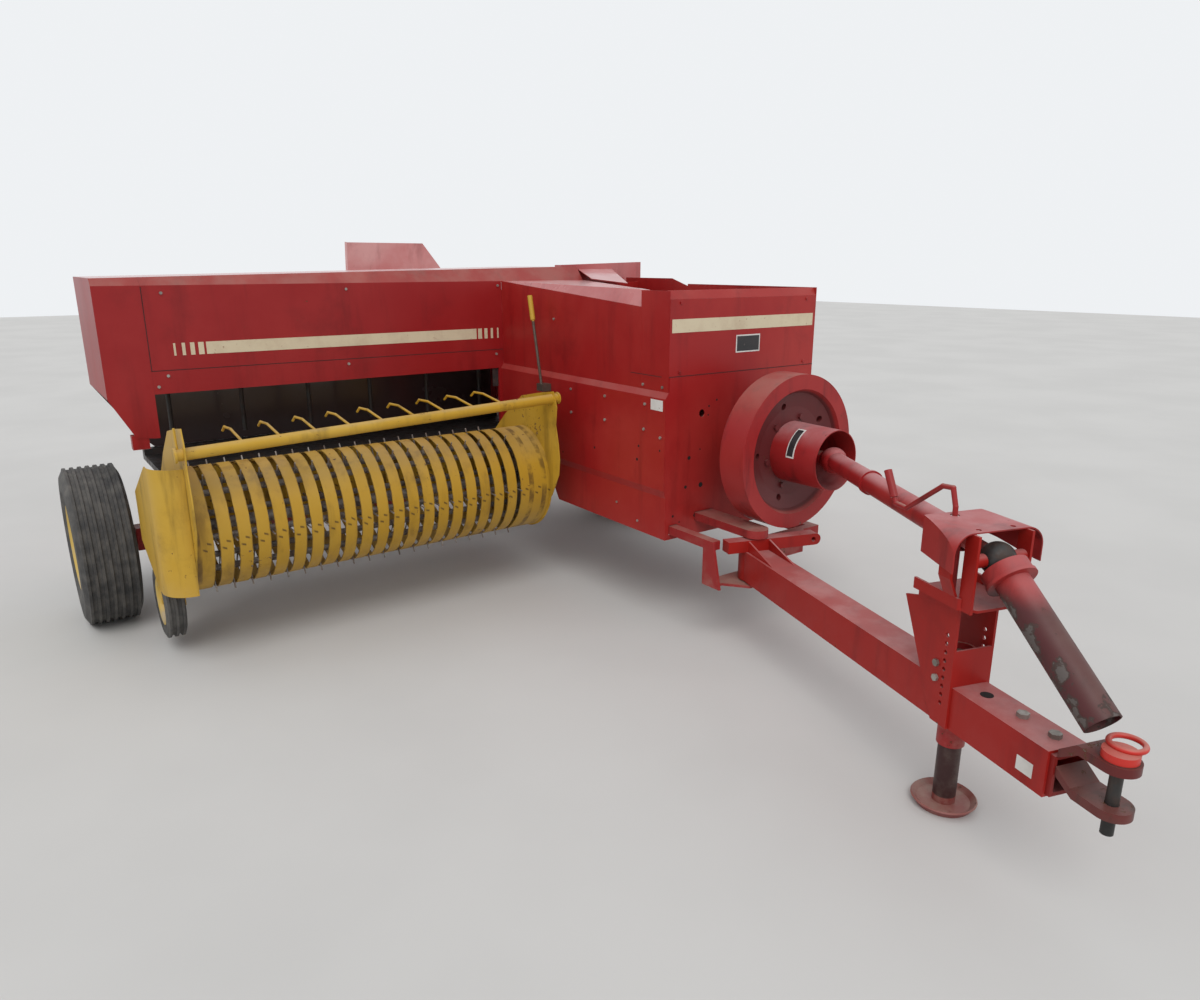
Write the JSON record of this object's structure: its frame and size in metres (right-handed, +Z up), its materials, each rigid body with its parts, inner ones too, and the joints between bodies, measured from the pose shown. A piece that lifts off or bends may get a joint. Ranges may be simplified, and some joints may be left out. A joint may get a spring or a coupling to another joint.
{
  "type": "square baler",
  "caption": "Towed square baler with a side pickup and tine reel, offset bale case, flywheel drive line, swinging tongue, parking jack and folding bale chute.",
  "frame": {"origin": "on the ground, at the middle of the machine's bounding box seen from above", "axes": "+Z up, -Y to the front where the tongue is, +X to the machine's left, where the bale case is"},
  "size_m": [3.32, 6.5076, 1.8267],
  "materials": {
    "red_paint": "weathered gloss enamel",
    "yellow_paint": "worn enamel with bare scuffs",
    "rim_paint": "faded enamel",
    "worn_maroon_paint": "worn through to bare grey steel",
    "bare_steel": "dull, slightly rusty",
    "dark_steel": "oily black",
    "tyre_rubber": "dusty rubber"
  },
  "bodies": {
    "frame": {"axle_beam": "red_paint", "main_frame": "red_paint", "bale_case": "red_paint", "case_rails": "red_paint", "tension_gear": "bare_steel", "gearbox": "red_paint", "plunger": "bare_steel", "knotter_frame": "red_paint", "knotters": "bare_steel", "needle_yoke": "red_paint", "feeder_shell": "red_paint", "feeder_front_panel": "red_paint", "feeder_strip": "red_paint", "feeder_end_panel": "red_paint", "feeder_floor": "red_paint", "feeder_forks": "bare_steel", "side_panel": "red_paint", "upper_panel": "red_paint", "roof_panel": "red_paint", "twine_box": "red_paint", "front_panel": "red_paint", "left_panel": "red_paint", "swing_bracket": "red_paint", "pickup_hangers": "red_paint", "lift_lever": "dark_steel"},
    "knotter_hood": {"knotter_hood": "red_paint"},
    "metering_wheel": {"metering_wheel": "bare_steel"},
    "flywheel": {"flywheel": "red_paint", "drive_bell": "red_paint"},
    "rear_guard": {"rear_guard": "red_paint"},
    "tongue": {"support_tower": "red_paint", "drive_cover": "red_paint", "cross_joint": "dark_steel", "tongue_beam": "red_paint", "tongue_extension": "red_paint", "hitch_clevis": "red_paint", "hitch_pin": "bare_steel", "jack_sleeve": "red_paint", "jack_crank": "bare_steel"},
    "inner_guard": {"inner_guard": "red_paint"},
    "front_guard": {"front_guard": "worn_maroon_paint"},
    "jack_leg": {"jack_leg": "dark_steel"},
    "pickup": {"pickup_sheets": "yellow_paint", "stripper_bands": "yellow_paint", "pickup_nose": "yellow_paint", "gauge_arm": "yellow_paint"},
    "tine_reel": {"tine_reel": "bare_steel"},
    "wind_guard": {"wind_guard": "yellow_paint"},
    "gauge_wheel": {"gauge_tyre": "tyre_rubber", "gauge_rim": "rim_paint"},
    "right_wheel": {"right_tyre": "tyre_rubber", "right_rim": "rim_paint"},
    "left_wheel": {"left_tyre": "tyre_rubber", "left_rim": "rim_paint"},
    "bale_chute": {"bale_chute": "red_paint"}
  },
  "joints": [
    {"name": "right_wheel_spin", "type": "hinge", "parent": "frame", "child": "right_wheel", "pos_m": [-1.54, 0.537, 0.3725], "axis": [1, 0, 0], "continuous": true},
    {"name": "left_wheel_spin", "type": "hinge", "parent": "frame", "child": "left_wheel", "pos_m": [1.54, 0.537, 0.3725], "axis": [1, 0, 0], "continuous": true},
    {"name": "flywheel_spin", "type": "hinge", "parent": "frame", "child": "flywheel", "pos_m": [1.015, -1.343, 0.845], "axis": [0, -1, 0], "continuous": true},
    {"name": "metering_wheel_spin", "type": "hinge", "parent": "frame", "child": "metering_wheel", "pos_m": [1.07, 2.007, 1.152], "axis": [1, 0, 0], "continuous": true},
    {"name": "hood_hinge", "type": "hinge", "parent": "frame", "child": "knotter_hood", "pos_m": [1.07, 1.557, 1.152], "axis": [-1, 0, 0], "range_deg": [0, 88]},
    {"name": "chute_hinge", "type": "hinge", "parent": "frame", "child": "bale_chute", "pos_m": [1.07, 3.217, 0.65], "axis": [-1, 0, 0], "range_deg": [0, 95]},
    {"name": "tongue_swing", "type": "hinge", "parent": "frame", "child": "tongue", "pos_m": [0.79, -1.463, 0.3], "axis": [0, 0, 1], "range_deg": [0, 27]},
    {"name": "rear_guard_yaw", "type": "hinge", "parent": "frame", "child": "rear_guard", "pos_m": [1.015, -1.678, 0.845], "axis": [0, 0, 1], "range_deg": [0, 30.4]},
    {"name": "inner_guard_yaw", "type": "hinge", "parent": "tongue", "child": "inner_guard", "pos_m": [0.37412, -2.78199, 0.85], "axis": [0, 0, 1], "range_deg": [0, 3.4]},
    {"name": "front_guard_lift", "type": "hinge", "parent": "tongue", "child": "front_guard", "pos_m": [0.37412, -2.78199, 0.85], "axis": [-0.9537, 0.3007, 0], "range_deg": [0, 35]},
    {"name": "jack_slide", "type": "slide", "parent": "tongue", "child": "jack_leg", "axis": [0, 0, 1], "range_m": [0, 0.15]},
    {"name": "pickup_lift", "type": "hinge", "parent": "frame", "child": "pickup", "pos_m": [-1.29, 0.275, 0.56], "axis": [-1, 0, 0], "range_deg": [-8, 5]},
    {"name": "reel_spin", "type": "hinge", "parent": "pickup", "child": "tine_reel", "pos_m": [-1.29, -0.163, 0.575], "axis": [1, 0, 0], "continuous": true},
    {"name": "wind_guard_lift", "type": "hinge", "parent": "pickup", "child": "wind_guard", "pos_m": [0.38, -0.448, 1.012], "axis": [0.9993, 0, 0.0384], "range_deg": [0, 60]},
    {"name": "gauge_wheel_spin", "type": "hinge", "parent": "pickup", "child": "gauge_wheel", "pos_m": [-1.355, -0.023, 0.227], "axis": [1, 0, 0], "continuous": true}
  ],
  "couplings": [
    {"joint": "rear_guard_yaw", "follows": "tongue_swing", "ratio": 1.1222},
    {"joint": "inner_guard_yaw", "follows": "tongue_swing", "ratio": 0.1222}
  ]
}
